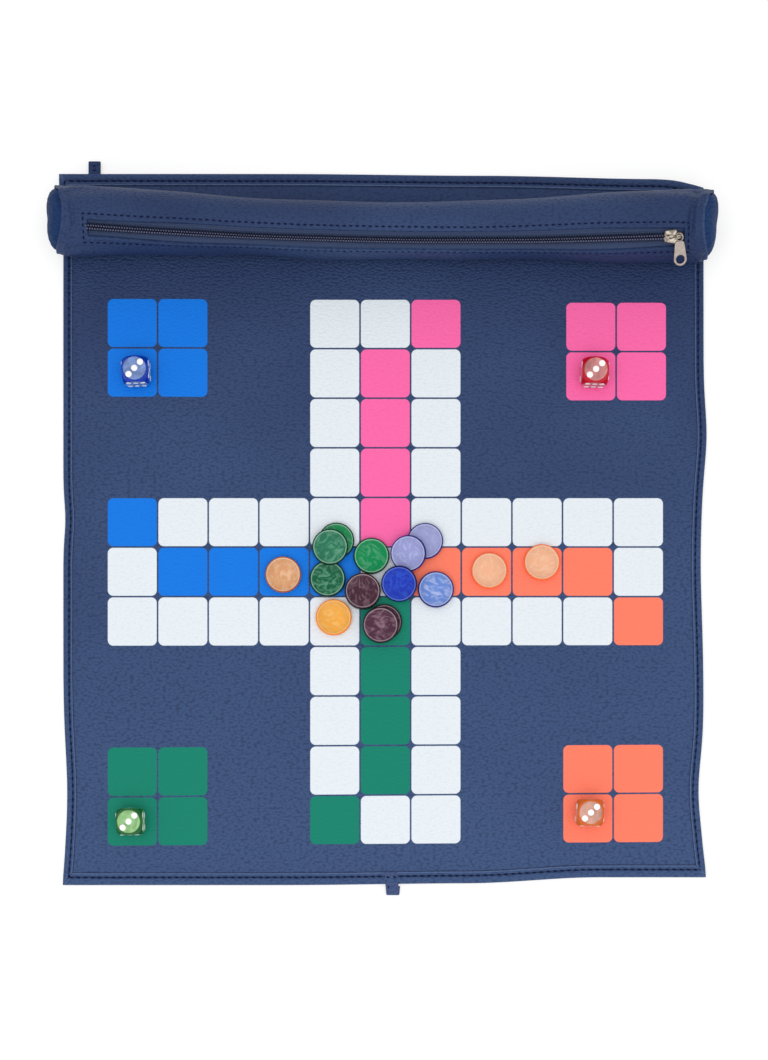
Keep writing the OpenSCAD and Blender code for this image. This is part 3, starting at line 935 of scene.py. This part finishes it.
for name, x in (("left", -173.3), ("right", 174.2)):
    stop = gathered(f"zip_stop_{name}_clamp", [rod([(x, w, h) for w, h in clamp], 0.8, 8, 0.6)],
                    pouch_point, blackened)
    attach(stop, "pouch")
    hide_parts(f"zip_stop_{name}")


# Four dice are cast in clear tinted resin, and a ball shape takes off their edges and corners.
# Their pips are drilled shallow and filled with white paint. Three is on top, six faces the player.
def clear_resin(name, face, edge, clarity):
    """Tinted resin, pale on the flat faces and painted a deeper colour where the ball cut it, as painted
    shade for the darker look that light bending through the rounded edges gives.
    """
    material, tree, skin = finish_nodes(name)
    place = put(tree, "TexCoord")["Object"]
    flow = put(tree, "TexNoise", {"Vector": place, "Scale": 95.0, "Detail": 3.0, "Distortion": 1.5})[0]
    flow = put(tree, "MapRange", {"Value": flow, "From Min": 0.35, "From Max": 0.65})[0]
    flat = put(tree, "SeparateXYZ", {"Vector": put(tree, "UVMap", uv_map="flat")[0]})[0]
    flat = put(tree, "MapRange", {"Value": flat, "From Min": 0.965, "From Max": 0.985})[0]
    # Painted shade: the rounded edges get the deeper colour.
    colour = mixed(tree, flat, edge, mixed(tree, flow, toned(face, 0.55), face))
    tree.links.new(colour, skin.inputs["Base Color"])
    skin.inputs["Roughness"].default_value = 0.08
    skin.inputs["Specular IOR Level"].default_value = 0.3
    skin.inputs["IOR"].default_value = 1.5
    skin.inputs["Transmission Weight"].default_value = clarity
    return material


def pip_paint():
    """White paint, thick in the drilled pips."""
    material, tree, skin = finish_nodes("white_pip_paint")
    place = put(tree, "TexCoord")["Object"]
    brush = put(tree, "TexNoise", {"Vector": place, "Scale": 1500.0})[0]
    white = mixed(tree, brush, tone(240, 240, 240), tone(254, 254, 252))
    tree.links.new(white, skin.inputs["Base Color"])
    skin.inputs["Roughness"].default_value = 0.45
    return material


die_side, die_ball, pip_r, small_pip_r, pip_step = 16.0, 10.5, 1.85, 1.554, 3.5
pips = pip_paint()
one, two, three = [(0, 0)], [(-1, 1), (1, -1)], [(-1, -1), (0, 0), (1, 1)]
four = [(-1, -1), (-1, 1), (1, -1), (1, 1)]
six = [(1.17 * u, v) for u, v in four] + [(0, -1), (0, 1)]
# Each face of a die: the way out, the way across, its pips and their size
die_faces = [((0, 0, 1), (1, 0, 0), three, pip_r), ((0, 0, -1), (1, 0, 0), four, pip_r),
             ((0, -1, 0), (1, 0, 0), six, small_pip_r), ((0, 1, 0), (1, 0, 0), one, pip_r),
             ((1, 0, 0), (0, 1, 0), four + one, pip_r), ((-1, 0, 0), (0, 1, 0), two, pip_r)]


def die_surface(p):
    """Pulls a point of the cube onto the cast shape: the cube and a ball, blended by a small round."""
    direction = p / np.linalg.norm(p)
    cube_r, soft_k = die_side / 2 / np.abs(direction).max(), 34
    return direction * (cube_r ** -soft_k + die_ball ** -soft_k) ** (-1 / soft_k)


def die_mesh():
    """Points, faces and finishes of one die round its own middle."""
    half, lines, sides = die_side / 2, 33, 20
    grid = np.linspace(-half, half, lines)
    rings = [(1.0, -0.5), (1.0, 0.02), (0.92, 0.06), (0.6, 0.04), (0.1, 0.03)]
    pip_faces = grid_faces(len(rings), sides, flip=True)
    pip_faces.append(tuple(range(len(rings) * sides - sides, len(rings) * sides)))
    points, faces, picks = [], [], []
    for normal, across, spots, radius in die_faces:
        normal, across = np.array(normal, float), np.array(across, float)
        up = np.cross(normal, across)
        shell = [die_surface(normal * half + across * a + up * b) for a in grid for b in grid]
        add_part(points, faces, (shell, grid_faces(lines, lines, closed=False)))
        picks += [0] * (len(faces) - len(picks))
        for u, v in spots:
            middle = normal * half + (across * u + up * v) * pip_step
            pip = [middle + radius * share * (across * math.cos(t) + up * math.sin(t)) + normal * rise
                   for share, rise in rings for t in np.arange(sides) * 2 * math.pi / sides]
            add_part(points, faces, (pip, pip_faces))
        picks += [1] * (len(faces) - len(picks))
    return np.array(points), faces, picks


dice = [("blue", -147.3, 91.8, 2, tone(156, 190, 255), tone(8, 62, 196)),
        ("red", 125.7, 91.2, -2, tone(255, 172, 170), tone(226, 10, 44)),
        ("green", -150.7, -176.4, 1, tone(176, 236, 156), tone(26, 112, 52)),
        ("orange", 122.7, -171.1, -1, tone(255, 192, 170), tone(248, 120, 36))]
die_points, die_quads, die_picks = die_mesh()
flatness = np.abs(die_points).max(1) / (die_side / 2)
for colour, x, y, turned, hue, shaded_edge_hue in dice:
    c, s = math.cos(math.radians(turned)), math.sin(math.radians(turned))
    turn_z = np.array([[c, s, 0], [-s, c, 0], [0, 0, 1]])
    placed = die_points @ turn_z + [x, y, sheet_t + die_side / 2]
    cube = new_piece(f"die_{colour}_cast", placed, die_quads,
                     [clear_resin(f"{colour}_resin", hue, shaded_edge_hue, 0.35), pips], die_picks, 40)
    lay_map(cube, "flat", np.stack([flatness, flatness], 1))
    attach(cube, f"die_{colour}")
    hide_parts(f"die_{colour}")


# The counters are cast discs of marbled resin with a thin raised rim on both faces, four of each
# colour. No two are alike, because the colours are stirred together while the resin sets.
def marbled_resin(name, rim, face, wisp, cloud, seed):
    """Resin with wisps stirred into it, deeper towards the rim, and a painted highlight line on the rim.
    """
    material, tree, skin = finish_nodes(name)
    place = put(tree, "UVMap", uv_map="hide")[0]
    shifted = put(tree, "VectorMath", {0: place, 1: (seed * 0.131, seed * 0.077, 0)})[0]
    drawn = put(tree, "VectorRotate", {"Vector": shifted, "Angle": 0.7 * seed},
                rotation_type="Z_AXIS")[0]
    drawn = put(tree, "VectorMath", {0: drawn, 1: (1.0, 0.62, 1.0)}, operation="MULTIPLY")[0]
    swirl = put(tree, "TexNoise", {"Vector": drawn, "Scale": 235.0, "Detail": 8.0,
                                   "Distortion": 1.8})[0]
    veins = put(tree, "MapRange", {"Value": swirl, "From Min": 0.46, "From Max": 0.64,
                                   "To Max": cloud})[0]
    broad = put(tree, "TexNoise", {"Vector": shifted, "Scale": 70.0, "Detail": 2.0})[0]
    broad = put(tree, "MapRange", {"Value": broad, "From Min": 0.3, "From Max": 0.7})[0]
    deep_face = toned(face, 0.88)
    colour = mixed(tree, veins, mixed(tree, broad, deep_face, face), wisp)
    radius = put(tree, "VectorMath", {0: place}, operation="LENGTH")["Value"]
    outer_shade = put(tree, "MapRange", {"Value": radius, "From Min": 4.0 * MM, "From Max": 9.8 * MM,
                                         "To Max": 0.45})[0]
    colour = mixed(tree, outer_shade, colour, toned(deep_face, 0.8))
    # Painted highlight: a light line just inside the rim.
    ring = math_node(tree, "ABSOLUTE", math_node(tree, "SUBTRACT", radius, 9.6 * MM))
    ring = put(tree, "MapRange", {"Value": ring, "From Min": 0.1 * MM, "From Max": 0.4 * MM,
                                  "To Min": 0.7, "To Max": 0.0})[0]
    edge = put(tree, "MapRange", {"Value": radius, "From Min": 9.85 * MM, "From Max": 10.2 * MM})[0]
    rim_highlight_colour = tuple(0.15 + 0.8 * c for c in wisp[:3]) + (1.0,)
    colour = mixed(tree, ring, mixed(tree, edge, colour, rim), rim_highlight_colour)
    tree.links.new(colour, skin.inputs["Base Color"])
    skin.inputs["Roughness"].default_value = 0.2
    skin.inputs["Specular IOR Level"].default_value = 0.12
    skin.inputs["IOR"].default_value = 1.5
    skin.inputs["Transmission Weight"].default_value = 0.1
    return material


counter_h, round_steps = 3.0, 48
rim_line = [(0.02, 0.5), (4.0, 0.5), (8.6, 0.5), (9.15, 0.46), (9.4, 0.3), (9.6, 0.08), (9.8, 0.0),
            (10.2, 0.02), (10.5, 0.14), (10.72, 0.42), (10.8, 0.85)]
lathe = [(r, h) for r, h in rim_line] + [(r, counter_h - h) for r, h in rim_line[::-1]]
disc_points = np.array([(r * math.cos(t), r * math.sin(t), h) for r, h in lathe
                        for t in np.arange(round_steps) * 2 * math.pi / round_steps])
disc_faces = rod_faces(len(lathe), round_steps)
# Heights of the first and the second layer, and how much nearer the player all counters lie
level_1, level_2, nearer = sheet_t, sheet_t + counter_h, -0.7
bottle, indigo, plum = tone(2, 44, 32), tone(22, 20, 120), tone(34, 16, 26)
amber, coral = tone(255, 142, 24), tone(255, 122, 60)
milky_green, milky_blue, milky_plum = tone(140, 206, 170), tone(200, 212, 248), tone(176, 142, 156)
grape, apricot, peach = tone(72, 38, 54), tone(255, 190, 150), tone(255, 212, 184)
# Name, place, tilt and its direction, colours of the rim, the face and the wisps, how cloudy
counters = [
    ("green_1", -28.2, -7.5, level_1, 0, 0, bottle, tone(10, 148, 84), milky_green, 0.35),
    ("green_2", -31.9, -11.7, level_2, 0, 0, bottle, tone(44, 122, 92), milky_green, 0.5),
    ("green_3", -33.5, -30.3, level_1, 0, 0, bottle, tone(10, 100, 66), milky_green, 0.4),
    ("green_4", -7.2, -16.6, level_1, 0, 0, bottle, tone(0, 146, 84), milky_green, 0.3),
    ("blue_1", 25.0, -7.7, level_1, 0, 0, indigo, tone(166, 170, 222), milky_blue, 0.3),
    ("blue_2", 15.2, -15.2, sheet_t + 2.85, -13.6, 37, indigo, tone(158, 162, 220), milky_blue, 0.4),
    ("blue_3", 9.5, -33.2, sheet_t + 2.8, -14.2, 72, tone(6, 8, 84), tone(0, 46, 186),
     tone(50, 110, 230), 0.4),
    ("blue_4", 31.4, -36.7, level_1, 0, 0, indigo, tone(110, 146, 224), tone(196, 206, 244), 0.7),
    ("purple_1", -12.4, -38.0, level_1, 0, 0, plum, grape, milky_plum, 0.35),
    ("purple_2", -12.4, -38.0, level_2, 0, 0, plum, grape, milky_plum, 0.35),
    ("purple_3", 0.4, -56.3, level_1, 0, 0, plum, grape, milky_plum, 0.35),
    ("purple_4", -1.7, -58.3, level_2, 0, 0, plum, tone(82, 42, 66), milky_plum, 0.5),
    ("orange_1", -29.8, -53.4, level_1, 0, 0, amber, tone(255, 178, 72), tone(255, 204, 128), 0.5),
    ("orange_2", -60.1, -27.8, level_1, 0, 0, tone(176, 92, 44), tone(228, 164, 116),
     tone(250, 214, 180), 0.5),
    ("orange_3", 63.4, -25.4, level_1, 0, 0, coral, apricot, peach, 0.5),
    ("orange_4", 94.9, -20.4, level_1, 0, 0, coral, apricot, peach, 0.5)]
for seed, (name, x, y, z, tilt, toward, rim, face, wisp, cloud) in enumerate(counters):
    a, b = math.radians(tilt), math.radians(toward)
    lean = np.array([[math.cos(a), 0, math.sin(a)], [0, 1, 0], [-math.sin(a), 0, math.cos(a)]])
    aim = np.array([[math.cos(b), -math.sin(b), 0], [math.sin(b), math.cos(b), 0], [0, 0, 1]])
    placed = disc_points @ (aim @ lean).T + [x, y + nearer, z]
    disc = new_piece(f"counter_{name}_cast", placed, disc_faces,
                     [marbled_resin(f"{name}_resin", rim, face, wisp, cloud, seed)], crease=50)
    lay_hide(disc, disc_points[:, :2])
    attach(disc, f"counter_{name}")
    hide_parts(f"counter_{name}")

# The table, the light and the camera. The table is plain and pale, one broad soft lamp hangs
# over it, and the camera looks straight down from above the lower part of the board.
reach, floor_z = 4000, -0.05
floor = new_piece("floor", [(-reach, -reach, floor_z), (reach, -reach, floor_z),
                            (reach, reach, floor_z), (-reach, reach, floor_z)], [(0, 1, 2, 3)], [])
paper, tree, skin = finish_nodes("white_table")
rays = put(tree, "LightPath")
seen = math_node(tree, "MAXIMUM", rays["Is Camera Ray"],
                 math_node(tree, "MAXIMUM", rays["Is Glossy Ray"], rays["Is Transmission Ray"]))
glow = put(tree, "Emission", {"Color": (1, 1, 1, 1), "Strength": 1.36})[0]
skin.inputs["Base Color"].default_value = (0.86, 0.86, 0.86, 1)
skin.inputs["Roughness"].default_value = 0.9
paper_mix = put(tree, "MixShader", {0: math_node(tree, "MULTIPLY", seen, 0.38), 1: skin.outputs[0],
                                    2: glow})[0]
tree.links.new(paper_mix, tree.nodes["Material Output"].inputs["Surface"])
floor.data.materials.append(paper)

world = bpy.data.worlds.new("studio")
bpy.context.scene.world = world
world.use_nodes = True
tree = world.node_tree
sky = tree.nodes["Background"]
rays = put(tree, "LightPath")
sky.inputs["Color"].default_value = (1, 1, 1, 1)
seen = math_node(tree, "MAXIMUM", rays["Is Camera Ray"], rays["Is Transmission Ray"])
strength = put(tree, "MapRange", {"Value": seen, "To Min": 0.8, "To Max": 1.0})[0]
tree.links.new(strength, sky.inputs["Strength"])

lamp = bpy.data.objects.new("soft_lamp", bpy.data.lights.new("soft_lamp", "AREA"))
lamp.data.shape = "RECTANGLE"
lamp.data.size, lamp.data.size_y = 2.0, 1.4
lamp.data.energy = 10.2
lamp.location = (-0.15, -0.55, 1.5)
lamp.rotation_euler = (math.radians(20), 0, 0)
bpy.context.scene.collection.objects.link(lamp)

camera = bpy.data.objects.new("camera", bpy.data.cameras.new("camera"))
picture_h, sensor, lens = 636.0, 36, 60.8
eye_x, eye_y, picture_middle_y = 0.9, -172.5, -1.5
camera.data.sensor_width = sensor
camera.data.lens = lens
camera.data.shift_x = -0.0009
camera.data.shift_y = (picture_middle_y - eye_y) / picture_h
camera.location = (eye_x * MM, eye_y * MM, (sheet_t + picture_h * lens / sensor) * MM)
bpy.context.scene.collection.objects.link(camera)
bpy.context.scene.camera = camera
bpy.context.scene.view_settings.view_transform = "Standard"
